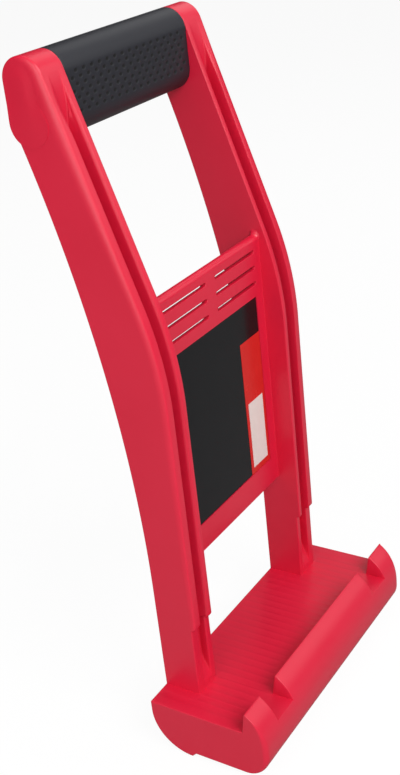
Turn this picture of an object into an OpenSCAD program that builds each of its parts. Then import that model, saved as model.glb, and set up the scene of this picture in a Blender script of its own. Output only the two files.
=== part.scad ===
// Hand carrier for boards and panels: a foot tray, two channel arms with a web between, and an oval grip.
// Millimetres, +Z up, X along the grip, the tray's lip towards -Y, origin under the middle of the part.
// Shapes are drawn from the back face of the legs (y = 0, forwards negative) and the tray's floor (z = 0).

/* [Foot tray] */
// Width of the tray, along the grip
tray_w = 162; // [150:1:190]
// Height of the tray's floor above the lowest line of the heel
tray_h = 28.5; // [26:0.5:34]
// Distance from the back of the legs to the front of the toe
toe_reach = 68.5; // [66:0.5:80]
// Radius of the rounded heel
heel_r = 22.5; // [20:0.5:24]
// How far the heel stands below the flat base
heel_drop = 2.4; // [1:0.1:3]
// Radius of the toe's lower corner
toe_r = 14; // [10:0.5:15]
// Radius of the tray's front corners, seen from above
end_r = 5; // [2:0.5:10]
// Thickness of the tray's floor
floor_t = 4; // [3:0.1:5]
// Thickness of the heel and toe walls
tray_wall = 3.2; // [2.4:0.1:4]
// Thickness of the tray's end walls
end_wall = 3.5; // [2.5:0.1:5]
// Thickness of the tray's bottom round the base opening
base_wall = 5; // [4.6:0.1:6]
// Width of the bottom's rim round the base opening
base_rim = 4; // [3:0.5:6]
// Thickness of the cross ribs inside the tray
inner_rib_t = 2.4; // [1.5:0.1:4]

/* [Lip] */
// Distance from the back of the legs to the foot of the lip
lip_foot = 55; // [48:0.2:58]
// Height of the lip above the floor
lip_h = 12.4; // [8:0.1:16]
// How far the lip's tip leans forward of its foot
lip_lean = 2; // [0.5:0.1:4]
// Depth of the toe's foremost line below the floor
belly_drop = 8.5; // [6:0.1:11]

/* [Floor ribs] */
// Distance from one floor rib to the next
rib_pitch = 5; // [2:0.1:6]
// Width of the groove between two floor ribs
rib_gap = 4; // [0.6:0.1:4.6]
// Depth of the grooves
rib_depth = 0.3; // [0.2:0.1:1]
// Plain margin at the tray's ends
rib_margin = 5.5; // [1:0.5:8]
// Plain margin at the back edge and round the legs
rib_inset = 0.8; // [0.4:0.1:3]

/* [Arms] */
// Clear width between the arms, which is the grip's length
arm_gap = 98; // [88:1:110]
// Width of one arm
arm_w = 16.5; // [15:0.5:20]
// Thickness of an arm's two flanges
flange_t = 4.8; // [4.5:0.1:5.5]
// Thickness of the channel's back wall
back_wall = 5; // [3.5:0.1:8]
// Depth of the legs, back to front
leg_d = 20.8; // [19:0.1:24]
// How far the flanges stand forward of the legs
flange_step = 2.2; // [1:0.1:4]
// Height of the flange tips above the floor
step_h = 40.5; // [32:0.5:48]
// Height above the floor where the back starts to curve
back_start = 60.5; // [50:0.5:80]
// Radius of the curved back
back_r = 715; // [650:5:800]
// Height above the floor where the front starts to bend
bend_start = 161; // [150:1:175]
// Radius of the bend in front
bend_r = 170; // [120:2:200]
// Lean of the upper arms, in degrees
arm_lean = 18.4; // [16:0.1:19.5]
// Height above the floor where the channel runs out
channel_top = 311; // [300:1:313]
// Length of the slope where the channel runs out
channel_run = 40; // [36:1:60]
// Depth of the shallow channel in the legs
leg_channel_d = 2.4; // [1:0.1:4]
// Height above the floor where that channel starts
leg_channel_start = 9; // [4:0.5:14]

/* [Head and grip] */
// Height of the oval head
head_h = 40; // [36:0.5:46]
// Depth of the oval head
head_d = 21.6; // [19:0.2:24]
// Height of the head's middle above the floor
head_z = 306; // [300:1:312]
// Distance of the head's middle behind the back of the legs
head_y = 30.5; // [28:0.5:34]
// Thickness of the grip sleeve
sleeve_t = 3; // [2:0.1:4]
// Depth of the core's sockets in the arms
core_seat = 6; // [4:0.5:7]
// Thickness of the core's walls
core_wall = 3; // [2:0.1:4]
// Thickness of an end cap
cap_t = 3.6; // [2.8:0.1:5]
// How far an end cap stands out of the arm
cap_proud = 0.7; // [0.3:0.1:1.5]
// Radius of a cap's rounded rim
cap_rim_r = 2; // [1:0.1:2.5]
// Diameter of a cap's peg
cap_peg_d = 6; // [4:0.5:7]
// Length of a cap's peg
cap_peg_l = 5; // [3:0.5:6]

/* [Web] */
// Distance from the back of the legs to the web's front
web_y = 11.2; // [9:0.1:12]
// Thickness of the web
web_t = 3.6; // [3:0.1:5]
// Height of the web's bottom edge above the floor
web_bottom = 66; // [55:0.5:75]
// Height of the web's top edge above the floor
web_top = 211.5; // [205:0.5:220]
// Radius of the web's rounded top and bottom edges
web_edge_r = 1.2; // [0.6:0.1:2]
// Radius of the coves beside the arms
cove_r = 3; // [1:0.5:5]
// Length of one slot
slot_l = 39; // [30:0.5:40]
// Height of one slot
slot_h = 2; // [1.6:0.1:4]
// Distance from one row of slots to the next
slot_pitch = 8.5; // [6:0.1:11]
// Distance from the web's top edge to the first row
slot_first = 7.4; // [5:0.2:10]
// Width of the rib between the two columns of slots
slot_rib = 8.6; // [5:0.2:11]
// Rows of slots
slot_rows = 3; // [1:1:3]

/* [Label] */
// Width of the label
label_w = 84; // [70:1:88]
// Height of the label's bottom edge above the floor
label_bottom = 81.6; // [76:0.1:90]
// Height of the label's top edge above the floor
label_top = 179.6; // [150:0.1:180]
// Depth of the recess
label_recess = 0.7; // [0.6:0.1:1]
// Thickness of the label's base film
film_t = 0.25; // [0.1:0.05:0.3]
// Thickness of one printed layer
print_t = 0.15; // [0.05:0.05:0.15]
// Width of the colour block at the label's side
block_w = 20; // [14:0.5:26]
// Height of the colour block
block_h = 78.2; // [50:0.1:85]
// Width of the write-on patch
patch_w = 15; // [8:0.5:18]
// Height of the write-on patch
patch_h = 38.7; // [20:0.1:60]
// Height of the patch above the label's bottom edge
patch_rise = 3.7; // [2:0.1:20]

/* [Joints] */
// Depth of the pocket in the floor that a leg's foot stands in
foot_sink = 1; // [0.6:0.1:1.5]
// Depth of a leg's tenon in the tray
tenon_h = 11; // [8:0.5:12]
// Shoulder round a tenon
tenon_inset = 3; // [2:0.1:4]
// Distance from the back of the leg to its tenon
tenon_back = 6; // [5:0.1:7]
// Length of a web tongue
tongue_l = 22; // [12:1:30]
// Thickness of a web tongue
tongue_t = 2.4; // [1.6:0.1:2.8]
// Depth of a web tongue in the arm
tongue_d = 4; // [2.5:0.1:4.4]
// Gap round parts that slide together
fit_gap = 0.15; // [0.05:0.05:0.3]

/* [Screws] */
// Diameter of the handle and leg screws
screw_d = 4.5; // [3.5:0.1:5]
// Diameter of their heads
screw_head_d = 8; // [7:0.1:8.6]
// Thickness of their heads
screw_head_t = 2.6; // [2:0.1:3]
// Gap round a leg screw's head for the driver
driver_gap = 1; // [0.5:0.1:2]
// Length of a handle screw under its head
handle_screw_l = 20; // [14:1:30]
// Length of a leg screw under its head
leg_screw_l = 22; // [18:1:30]
// Thickness of the tray's seat under a leg screw
leg_seat_t = 4; // [3:0.1:5]
// Diameter of the base screws
base_screw_d = 3.2; // [2.5:0.1:4]
// Diameter of their heads
base_head_d = 6.4; // [5:0.1:7]
// Length of a base screw under its head
base_screw_l = 11; // [8:0.5:14]
// Diameter of the bosses for the base screws
boss_d = 8; // [7.2:0.1:10]
// Thickness of the base cover
cover_t = 2.4; // [2:0.1:3]
// Width of the ledge that the base cover lies on
cover_ledge = 2.5; // [1.5:0.1:2.8]

/* [Hidden] */
// Overrun of cuts
over = 1;
// Straight steps in one drawn arc
arc_steps = 14;
$fn = 64;
half = 1 / 2;

body_red = "#d22a40";
grip_black = "#33343a";
label_black = "#232325";
label_red = "#cc2a27";
patch_white = "#d9c8c4";
screw_grey = "#9a9ca0";

// Places of the part in its frame
head_back = head_y + head_d * half;
back_y = (toe_reach - head_back) * half;
// The arms stand further apart where the label and the coves beside it need the room
arm_space = max(arm_gap, label_w + fit_gap + fit_gap + cove_r + cove_r);
arm_in = arm_space * half;
arm_out = arm_in + arm_w;
arm_mid = (arm_in + arm_out) * half;
arm_d = leg_d + flange_step;
channel_w = arm_w - flange_t - flange_t;
sides = [-1, 1];

// Foot tray
base_h = tray_h - heel_drop;
tray_half = tray_w * half;
lip_tip = lip_foot + lip_lean;
lip_run = toe_reach - lip_tip;
lip_r = (pow(lip_run, 2) + pow(lip_h + belly_drop, 2)) / lip_run * half;
lip_angle = atan2(lip_h + belly_drop, lip_r - lip_run);
cavity_bottom = base_h - base_wall;
heel_in_r = heel_r - tray_wall;
heel_in_angle = asin((cavity_bottom - tray_h + heel_r) / heel_in_r);
toe_in_r = toe_r - tray_wall;
toe_in_angle = asin((cavity_bottom - base_h + toe_r) / toe_in_r);
cavity_half = tray_half - end_wall;
open_back = heel_r + heel_drop + base_rim;
open_front = toe_reach - toe_r;
open_half = cavity_half - base_rim;
rib_count = floor((tray_half - rib_margin - rib_gap * half) / rib_pitch + half);

// Leg joints
tenon_w = arm_w - tenon_inset - tenon_inset;
tenon_front = leg_d - tenon_inset;
tenon_mid = (tenon_back + tenon_front) * half;
seat_z = tenon_h + fit_gap + leg_seat_t;

// Cross recess of a screw, as shares of its head
recess_l_share = 0.55;
recess_w_share = 0.15;
recess_t_share = 0.6;

// Base cover
boss_y = (open_back + open_front) * half;
boss_x_shares = [-0.86, -0.36, 0.36, 0.86];
base_head_t = cover_t * half;

// Arm outline
bend_top_y = bend_r * (1 - cos(arm_lean)) - arm_d;
bend_top_z = bend_start + bend_r * sin(arm_lean);
head_front = head_y - head_d * half;
front_top_z = bend_top_z + (head_front - bend_top_y) / tan(arm_lean);
head_r = head_d * half;
head_span = head_h - head_d;
back_angle = asin((head_z - head_span * half - back_start) / back_r);
channel_floor_z = channel_top - channel_run;
channel_angle = asin((channel_floor_z - back_start) / (back_r + back_wall));

// Head and grip
core_d = head_d - sleeve_t - sleeve_t;
core_hole_d = screw_d;
core_slot_h = head_span - core_d + core_wall + core_wall;
core_l = arm_space + core_seat + core_seat - fit_gap - fit_gap;
cap_seat = cap_t - cap_proud;
head_bore_l = arm_w - core_seat - cap_seat - screw_head_t;

// Web and label
web_half = arm_in - fit_gap * half;
web_h = web_top - web_bottom;
tongue_rise_shares = [0.12, 0.5, 0.88];

// Points on an arc, from angle a0 to angle a1
function arc(centre, r, a0, a1) =
  [for (i = [0:arc_steps]) let (a = a0 + (a1 - a0) * i / arc_steps) centre + r * [cos(a), sin(a)]];

// Front of the upper arm at a height
function front_y(z) = bend_top_y + (z - bend_top_z) * tan(arm_lean);

// Brings shapes drawn from the legs' back and the floor into the part's frame
module placed() { translate([0, back_y, tray_h]) children(); }

// Mirrors a right-hand shape to the left
module on_side(s) { mirror([s < 0 ? 1 : 0, 0, 0]) children(); }

// Extrudes a side view, drawn in y and z, along x
module along_x(length) { rotate([90, 0, 90]) linear_extrude(length) children(); }
module across(width) { translate([-width * half, 0, 0]) along_x(width) children(); }

// A box given by its low and high corners
module box(low, high) { translate(low) cube(high - low); }

// An oval of two half circles joined by straight sides, upright, about the head's middle
module oval(d, span) {
  translate([head_y, head_z]) {
    for (s = sides) translate([0, s * span * half]) circle(d = d);
    square([d, span], center = true);
  }
}

// A round bar along x
module bar_x(d, length) { rotate([0, 90, 0]) cylinder(d = d, h = length); }

// A self-tapping screw, head down at z = 0, with a cross recess
module screw(d, length, head_d, head_t) {
  recess_l = head_d * recess_l_share;
  recess_w = head_d * recess_w_share;
  recess_t = head_t * recess_t_share;
  difference() {
    union() {
      cylinder(d = head_d, h = head_t);
      translate([0, 0, head_t]) cylinder(d = d, h = length);
    }
    for (turn = [0, 90]) rotate(turn)
      translate([-recess_l * half, -recess_w * half, -over]) cube([recess_l, recess_w, recess_t + over]);
  }
}

// Side view of the tray: rounded heel, flat base, rounded toe and hooked lip
module tray_outline() {
  polygon(concat(
    [[0, 0]],
    arc([-heel_r, heel_r - tray_h], heel_r, 0, -90),
    [[-heel_r - heel_drop, -base_h]],
    arc([toe_r - toe_reach, toe_r - base_h], toe_r, -90, -180),
    arc([lip_r - toe_reach, -belly_drop], lip_r, 180, 180 - lip_angle),
    [[-lip_foot, 0]]
  ));
}

// Side view of the hollow inside the tray
module cavity_outline() {
  polygon(concat(
    [[-tray_wall, -floor_t]],
    arc([-heel_r, heel_r - tray_h], heel_in_r, 0, -heel_in_angle),
    arc([toe_r - toe_reach, toe_r - base_h], toe_in_r, toe_in_angle - 180, -180),
    [[tray_wall - toe_reach, -floor_t]]
  ));
}

// The tray from above, with rounded front corners
module tray_plan() {
  polygon(concat(
    [[tray_half, 0], [-tray_half, 0]],
    arc([end_r - tray_half, end_r - toe_reach], end_r, 180, 270),
    arc([tray_half - end_r, end_r - toe_reach], end_r, 270, 360)
  ));
}

module tray_block() {
  intersection() {
    across(tray_w) tray_outline();
    translate([0, 0, -tray_h - over]) linear_extrude(tray_h + lip_h + over + over) tray_plan();
  }
}

// Hollow bays on both sides of the middle rib
module tray_bays() {
  for (s = sides) on_side(s)
    translate([inner_rib_t * half, 0, 0]) along_x(cavity_half - inner_rib_t * half) cavity_outline();
}

// Grooves that leave the floor ribs, cut short in front of the legs
module floor_grooves() {
  for (s = sides, i = [0:rib_count - 1]) {
    x = (i + half) * rib_pitch;
    by_leg = x > arm_in - rib_gap - rib_inset && x < arm_out + rib_gap + rib_inset;
    on_side(s) box([x - rib_gap * half, rib_inset - lip_foot, -rib_depth],
                      [x + rib_gap * half, -rib_inset - (by_leg ? leg_d : 0), over]);
  }
}

// Shape of a leg's tenon, wider by the gap for its socket
module tenon_shape(gap, depth) {
  box([arm_in + tenon_inset - gap, -tenon_front - gap, -depth],
      [arm_out - tenon_inset + gap, gap - tenon_back, 0]);
}

// Repeats a shape under each boss, at the flat base
module at_bosses() {
  for (share = boss_x_shares) translate([share * open_half, -boss_y, -base_h]) children();
}

module foot_tray() color(body_red) placed() difference() {
  union() {
    difference() {
      tray_block();
      tray_bays();
    }
    intersection() {
      tray_block();
      for (s = sides) on_side(s)
        box([arm_in, -leg_d - fit_gap, -seat_z], [arm_out, 0, -floor_t * half]);
    }
    at_bosses() translate([0, 0, cover_t]) cylinder(d = boss_d, h = base_h - cover_t - floor_t * half);
  }
  for (s = sides) on_side(s) {
    box([arm_in - fit_gap, -leg_d - fit_gap, -foot_sink], [arm_out + fit_gap, over, over]);
    translate([0, 0, over]) tenon_shape(fit_gap, tenon_h + fit_gap + over);
    translate([arm_mid, -tenon_mid, -tray_h - over])
      cylinder(d = screw_head_d + driver_gap + driver_gap, h = tray_h + over - seat_z);
    translate([arm_mid, -tenon_mid, -seat_z - over]) cylinder(d = screw_d + fit_gap + fit_gap, h = seat_z);
    box([arm_in, -toe_reach - over, 0], [arm_out, over - lip_foot, lip_h + over]);
  }
  difference() {
    box([-open_half, -open_front, -base_h - over], [open_half, -open_back, over - cavity_bottom]);
    at_bosses() translate([0, 0, cover_t]) cylinder(d = boss_d, h = base_h);
  }
  box([-open_half - cover_ledge, -open_front - cover_ledge, -base_h - over],
      [open_half + cover_ledge, cover_ledge - open_back, cover_t - base_h]);
  at_bosses() cylinder(d = base_screw_d, h = base_screw_l + base_head_t + over);
  floor_grooves();
}

module base_cover() color(body_red) placed() difference() {
  box([fit_gap - open_half - cover_ledge, fit_gap - open_front - cover_ledge, -base_h],
      [open_half + cover_ledge - fit_gap, cover_ledge - open_back - fit_gap, cover_t - base_h]);
  at_bosses() translate([0, 0, -over]) {
    cylinder(d = base_screw_d + fit_gap + fit_gap, h = cover_t + over + over);
    cylinder(d = base_head_d + fit_gap + fit_gap, h = base_head_t + over);
  }
}

module base_screws() color(screw_grey) placed()
  at_bosses() screw(base_screw_d, base_screw_l, base_head_d, base_head_t);

module leg_screws() color(screw_grey) placed()
  for (s = sides) translate([s * arm_mid, -tenon_mid, -seat_z - screw_head_t])
    screw(screw_d, leg_screw_l, screw_head_d, screw_head_t);

// Side view of an arm, from the leg's foot up into the head
module arm_outline() {
  polygon(concat(
    [[0, -foot_sink]],
    arc([back_r, back_start], back_r, 180, 180 - back_angle),
    [[head_y, head_z], [head_front, front_top_z]],
    arc([bend_r - arm_d, bend_start], bend_r, 180 - arm_lean, 180),
    arc([-leg_d, step_h + flange_step], flange_step, 180, 270),
    [[-leg_d, -foot_sink]]
  ));
  oval(head_d, head_span);
}

// Side view of the channel between the flanges, open to the front, with a slope out of the front at its top
module channel_outline() {
  foot = [back_r - (back_r + back_wall) * cos(channel_angle), channel_floor_z];
  slope = [front_y(channel_top), channel_top] - foot;
  past_front = foot + slope * (1 + over / channel_run);
  polygon(concat(
    [[-arm_d - over, step_h], [-back_wall, step_h]],
    arc([back_r, back_start], back_r + back_wall, 180, 180 - channel_angle),
    [past_front, [-arm_d - over, past_front[1]]]
  ));
}

module right_arm() color(body_red) placed() {
  difference() {
    translate([arm_in, 0, 0]) along_x(arm_w) arm_outline();
    translate([arm_in + flange_t, 0, 0]) along_x(channel_w) channel_outline();
    box([arm_in + flange_t, -leg_d - over, leg_channel_start],
        [arm_out - flange_t, leg_channel_d - leg_d, step_h + over]);
    translate([arm_in - over, 0, 0])
      along_x(core_seat + over) oval(core_d + fit_gap + fit_gap, head_span);
    translate([arm_out - cap_seat, 0, 0])
      along_x(cap_t + over) oval(head_d + fit_gap + fit_gap, head_span);
    for (s = sides) translate([0, head_y, head_z + s * head_span * half]) {
      translate([arm_in, 0, 0]) bar_x(screw_d + fit_gap + fit_gap, arm_w);
      translate([arm_in + core_seat + head_bore_l, 0, 0]) bar_x(screw_head_d + fit_gap + fit_gap, arm_w);
    }
    translate([arm_out - cap_seat - cap_peg_l - fit_gap, head_y, head_z]) bar_x(cap_peg_d + fit_gap, arm_w);
    for (share = tongue_rise_shares) tongue_shape(web_bottom + share * web_h, fit_gap);
    translate([arm_mid, -tenon_mid, -tenon_h - over])
      cylinder(d = screw_d, h = over + leg_screw_l + over - leg_seat_t);
  }
  difference() {
    tenon_shape(0, tenon_h);
    translate([arm_mid, -tenon_mid, -tenon_h - over]) cylinder(d = screw_d, h = tenon_h + leg_screw_l);
  }
}

module left_arm() { mirror([1, 0, 0]) right_arm(); }

// A tongue of the web at a height, wider by the gap for its slot in the arm
module tongue_shape(z, gap) {
  mid_y = web_t * half - web_y;
  box([web_half - web_t, mid_y - tongue_t * half - gap, z - tongue_l * half - gap],
      [arm_in + tongue_d + gap, mid_y + tongue_t * half + gap, z + tongue_l * half + gap]);
}

// Side view of the web, with rounded edges
module web_outline() {
  ys = [web_edge_r - web_y, web_t - web_y - web_edge_r];
  zs = [web_bottom + web_edge_r, web_top - web_edge_r];
  for (y = ys, z = zs) translate([y, z]) circle(r = web_edge_r);
  translate([-web_y, web_bottom + web_edge_r]) square([web_t, web_h - web_edge_r - web_edge_r]);
  translate([web_edge_r - web_y, web_bottom]) square([web_t - web_edge_r - web_edge_r, web_h]);
}

// A hollow moulding that blends the web's front into an arm
module cove() {
  translate([web_half - cove_r, -web_y - cove_r, web_bottom + web_edge_r])
    linear_extrude(web_h - web_edge_r - web_edge_r) difference() {
      square([cove_r, cove_r + web_t * half]);
      circle(r = cove_r);
    }
}

// A slot with round ends, right through the web
module slot(x0, z) {
  end_x = [x0 + slot_h * half, x0 + slot_l - slot_h * half];
  depth = web_t + over + over;
  translate([0, -web_y - over, 0]) {
    translate([end_x[0], 0, z - slot_h * half]) cube([end_x[1] - end_x[0], depth, slot_h]);
    for (x = end_x) translate([x, 0, z]) rotate([-90, 0, 0]) cylinder(d = slot_h, h = depth);
  }
}

module web_panel() color(body_red) placed() difference() {
  union() {
    across(web_half + web_half) web_outline();
    for (s = sides) on_side(s) {
      cove();
      for (share = tongue_rise_shares) tongue_shape(web_bottom + share * web_h, 0);
    }
  }
  for (row = [0:slot_rows - 1], s = sides)
    on_side(s) slot(slot_rib * half, web_top - slot_first - row * slot_pitch);
  box([-label_w * half - fit_gap, -web_y - over, label_bottom - fit_gap],
      [label_w * half + fit_gap, label_recess - web_y, label_top + fit_gap]);
}

// A film in the label's recess: its side edges, its height and its distance from the recess's floor
module film(x0, x1, z0, z1, depth, thickness) {
  front = label_recess - web_y - depth;
  box([x0, front - thickness, z0], [x1, front, z1]);
}

module label_sheet() color(label_black) placed()
  film(-label_w * half, label_w * half, label_bottom, label_top, 0, film_t);

module label_colour_block() color(label_red) placed()
  film(label_w * half - block_w, label_w * half, label_bottom, label_bottom + block_h, film_t, print_t);

module label_write_on_patch() color(patch_white) placed() {
  x0 = label_w * half - block_w + (block_w - patch_w) * half;
  z0 = label_bottom + patch_rise;
  film(x0, x0 + patch_w, z0, z0 + patch_h, film_t + print_t, print_t);
}

module handle_core() color(grip_black) placed() difference() {
  across(core_l) oval(core_d, head_span);
  for (s = sides) translate([-core_l, head_y, head_z + s * head_span * half])
    bar_x(core_hole_d, core_l + core_l);
  across(core_l + over) translate([head_y, head_z])
    square([core_d - core_wall - core_wall, core_slot_h], center = true);
}

module grip_sleeve() color(grip_black) placed() across(arm_space - fit_gap - fit_gap) difference() {
  oval(head_d, head_span);
  oval(core_d + fit_gap + fit_gap, head_span);
}

module handle_screws() color(screw_grey) placed()
  for (side = sides, s = sides) on_side(side)
    translate([arm_out - cap_seat, head_y, head_z + s * head_span * half])
      rotate([0, -90, 0]) screw(screw_d, handle_screw_l, screw_head_d, screw_head_t);

// Half section of a cap: its radius and its height, with a rounded rim
module cap_section() {
  polygon(concat([[0, 0], [head_r, 0]],
                 arc([head_r - cap_rim_r, cap_t - cap_rim_r], cap_rim_r, 0, 90),
                 [[0, cap_t]]));
}

module right_end_cap() color(body_red) placed() translate([arm_out - cap_seat, head_y, head_z]) {
  for (s = sides) translate([0, 0, s * head_span * half]) rotate([0, 90, 0]) rotate_extrude() cap_section();
  for (s = sides) translate([0, 0, -head_span * half]) linear_extrude(head_span) rotate(-90)
    mirror([s < 0 ? 1 : 0, 0]) cap_section();
  translate([-cap_peg_l, 0, 0]) bar_x(cap_peg_d, cap_peg_l + cap_t * half);
}

module left_end_cap() { mirror([1, 0, 0]) right_end_cap(); }

left_arm();
right_arm();
web_panel();
foot_tray();
base_cover();
base_screws();
leg_screws();
handle_core();
grip_sleeve();
handle_screws();
left_end_cap();
right_end_cap();
label_sheet();
label_colour_block();
label_write_on_patch();
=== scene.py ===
"""Panel carrier: red moulded arms, web and tray, a dark dimpled grip and a glossy label.

Shapes are drawn in millimetres from the back face of the legs (y = 0, forwards negative) and the tray's
floor (z = 0), and then moved into the part's frame in metres.
"""
import math

import bmesh
import bpy
import numpy as np
from mathutils import Matrix, Vector


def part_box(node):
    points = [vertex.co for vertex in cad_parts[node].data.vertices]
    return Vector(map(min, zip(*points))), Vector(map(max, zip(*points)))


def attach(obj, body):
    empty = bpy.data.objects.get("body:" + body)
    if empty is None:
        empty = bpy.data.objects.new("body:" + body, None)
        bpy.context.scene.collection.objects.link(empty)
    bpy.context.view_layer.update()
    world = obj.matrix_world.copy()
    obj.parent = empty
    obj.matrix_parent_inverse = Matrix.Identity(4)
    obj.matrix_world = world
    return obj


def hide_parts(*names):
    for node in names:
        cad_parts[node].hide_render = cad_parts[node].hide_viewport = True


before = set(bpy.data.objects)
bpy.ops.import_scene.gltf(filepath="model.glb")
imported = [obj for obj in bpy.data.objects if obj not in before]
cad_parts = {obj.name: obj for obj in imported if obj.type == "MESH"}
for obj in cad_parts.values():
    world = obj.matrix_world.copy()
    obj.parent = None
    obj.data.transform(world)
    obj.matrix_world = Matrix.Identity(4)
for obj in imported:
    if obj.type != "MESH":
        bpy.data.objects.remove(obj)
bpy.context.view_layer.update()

MM = 0.001
# Half the width of a step between two neighbouring grid lines, in millimetres
STEP = 0.01
# Points closer than this, in metres, are joined
MERGE = 1e-7
# Bend in degrees from which an edge is drawn sharp
SHARP = 40

# Places taken from the frame; the tray's floor lies lip_h below the lip's tip
tray_low, tray_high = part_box("foot_tray")
arm_low, arm_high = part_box("right_arm")
cap_low, cap_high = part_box("right_end_cap")
label_low, label_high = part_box("label_sheet")
cover_low, cover_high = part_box("base_cover")
screw_low, screw_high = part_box("leg_screws")
lip_h = 12.4
origin = np.array([0.0, tray_high.y / MM, tray_high.z / MM - lip_h])
arm_in = arm_low.x / MM
arm_out = arm_high.x / MM
cap_out = cap_high.x / MM
head_d = (cap_high.y - cap_low.y) / MM
head_r = head_d / 2
head_span = (cap_high.z - cap_low.z) / MM - head_d
head_y = (cap_high.y + cap_low.y) / 2 / MM - origin[1]
head_z = (cap_high.z + cap_low.z) / 2 / MM - origin[2]
head_around = 2 * head_span + math.pi * head_d
tray_half = tray_high.x / MM
tray_h = origin[2] - tray_low.z / MM
toe_reach = origin[1] - tray_low.y / MM
label_half = label_high.x / MM
label_bottom = label_low.z / MM - origin[2]
label_top = label_high.z / MM - origin[2]

# Arms: walls, depths of the leg and the arm from front to back, and how far the leg's foot is sunk
flange_t = 3.9
outer_flange_t = 5.3
back_wall = 5.0
leg_d = 20.8
arm_d = 23.0
foot_sink = 0.3
# Width of a flat ring between a rounded edge and the flat side of an arm or the tray
side_ring = 0.1

# Outline of an arm: the step above the leg, the curved back, the bend and lean of the front, and small arcs
step_h = 40.5
back_start = 60.5
back_r = 715.0
bend_start = 161.0
bend_r = 170.0
arm_lean = math.radians(18.4)
tip_r = 1.8
neck_r = 5.0
brow_r = 40.0
brow_run = 18.0

# Channel down an arm's front: its run-out below the head, and the ramp at its foot up to the leg's groove
channel_top = 318.0
channel_run = 50.0
channel_power = 1.6
channel_ramp = 34.0
leg_channel_d = 5.0
leg_channel_start = 10.0
leg_fade = 16.0
inner_wall_lean = 0.28
# Shares of the run-out over which the channel's outer side turns into a slope
slope_start_share = 0.6
slope_run_share = 0.5

# Roundings of the channel's shoulders and foot, and by how much they widen where its side is a slope
inner_shoulder_w = 1.6
inner_shoulder_d = 2.6
outer_shoulder_r = 0.3
leg_shoulder_r = 1.0
shoulder_fade = 3.0
channel_foot_r = 1.0
foot_fade = 5.0
# Most that they take of the channel's depth
shoulder_depth_share = 0.6
foot_depth_share = 0.4

# Rounding of an arm's edges: outer width, outer depth and inner radius
rear_edge = np.array([0.25, 0.25, 0.25])
front_edge = np.array([1.6, 4.6, 0.25])
back_edge = np.array([0.4, 0.4, 0.4])
upper_edge = np.array([1.8, 6.0, 0.6])
middle_edge = np.array([1.3, 4.0, 0.6])
tip_edge = np.array([0.9, 3.0, 0.5])
leg_edge = np.array([0.5, 0.8, 0.4])
foot_edge = np.array([0.3, 0.3, 0.3])
# Height below which the leg's edge turns into the foot's, and the way over which it does
leg_edge_start = 10.5
leg_edge_fade = 4.0

# Head caps: step at the lower edge, and the heights from the head's middle between which it dies away
cap_sink = 0.3
cap_step = 0.2
cap_step_low = -9.6
cap_step_high = 2.4
cap_crown = (cap_out - arm_out) / 2

# Foot tray: its round heel and toe, and the lip with its foremost line
heel_r = 22.5
heel_drop = 2.4
toe_r = 14.0
lip_foot = 55.0
lip_lean = 2.0
belly_drop = 8.5
floor_edge_r = 0.5
lip_tip_r = 0.5
# Degrees by which the tip's rounding and the lip's outside stop short of the line where they would meet
tip_stop = 15
lip_stop = 3
# Rounding of the tray's ends along its floor and base, along the lip's tip and along the toe
end_edge = 0.6
lip_edge = lip_tip_r / 3
belly_edge = 3.0
notch_edge_r = 0.3

# Ribs of the floor, and the grooves between them
rib_pitch = 5.0
rib_gap = 4.0
rib_depth = 0.08
rib_margin = 5.5
rib_inset = 0.8
rib_flank = 0.4
# Middles of the grooves on one half of the tray
groove_count = int((tray_half - rib_margin - rib_gap / 2) / rib_pitch + 0.5)
grooves = (np.arange(groove_count) + 0.5) * rib_pitch

# Recess for the base cover, and the driver holes
base_h = tray_h - heel_drop
cover_gap = 0.15
cover_half_x = cover_high.x / MM + cover_gap
cover_back = origin[1] - cover_high.y / MM - cover_gap
cover_front = origin[1] - cover_low.y / MM + cover_gap
cover_t = 2.4
driver_hole_d = 10.0
driver_hole_y = (screw_low.y + screw_high.y) / 2 / MM - origin[1]
driver_hole_top = -15.15
drill_overrun = 5.0
drill_sides = 48

# Web: its place and edges, its slots, and the recess for the label
web_y = 11.2
web_t = 3.6
web_bottom = 66.0
web_top = 211.5
web_edge_r = 0.4
web_brow_r = 2.8
web_sink = 0.1
cove_r = 0.2
flare_r = 3.0
slot_l = 39.0
slot_h = 2.0
slot_pitch = 8.5
slot_first = 7.4
slot_rib = 8.6
slot_rows = 3
slot_edge_r = 0.2
slot_flare_w = 1.2
slot_flare_d = 2.5
# Way of the mesh's rings from the edge of a slot's cell to its rim, closer together far from the slot
slot_ring_shares = np.array([0, 0.05, 0.11, 0.18, 0.27, 0.38, 0.52, 0.7])
label_recess = 0.7
label_gap = 0.15
label_border = 1.0

# Grip: its sleeve, and the rows of dimples from the top one down
sleeve_t = 3.0
sleeve_end_r = 0.5
dimple_pitch = 5.9
dimple_row = 2.95
dimple_rows = 7
dimple_top = 9.0
dimple_w = 3.2
dimple_h = 2.2
dimple_wall = 0.5
dimple_depth = 0.3
dimple_margin = 2.4
# Spacing of the mesh over the dimples, and the lines on the rest of the sleeve
dimple_mesh = 0.3
plain_lines = 64
long_lines = 261
sleeve_sharp = 60


def arc(centre, r, a0, a1, count):
    """Points on a circle in the side view, from angle a0 to angle a1 in degrees."""
    a = np.radians(np.linspace(a0, a1, count))
    return np.asarray(centre) + r * np.stack([np.cos(a), np.sin(a)], axis=1)


def line(start, end, count):
    """Points spaced evenly from start to end."""
    t = np.linspace(0, 1, count)[:, None]
    return np.asarray(start) * (1 - t) + np.asarray(end) * t


def smooth(t):
    """Rises from 0 to 1 with level ends: 3 t squared less 2 t cubed, held outside 0 to 1."""
    t = np.clip(t, 0, 1)
    return t * t * (3 - 2 * t)


def quarter(count):
    """Sines and cosines of angles spaced evenly over a quarter turn."""
    turn = np.radians(np.linspace(0, 90, count))
    return np.sin(turn), np.cos(turn)


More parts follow.
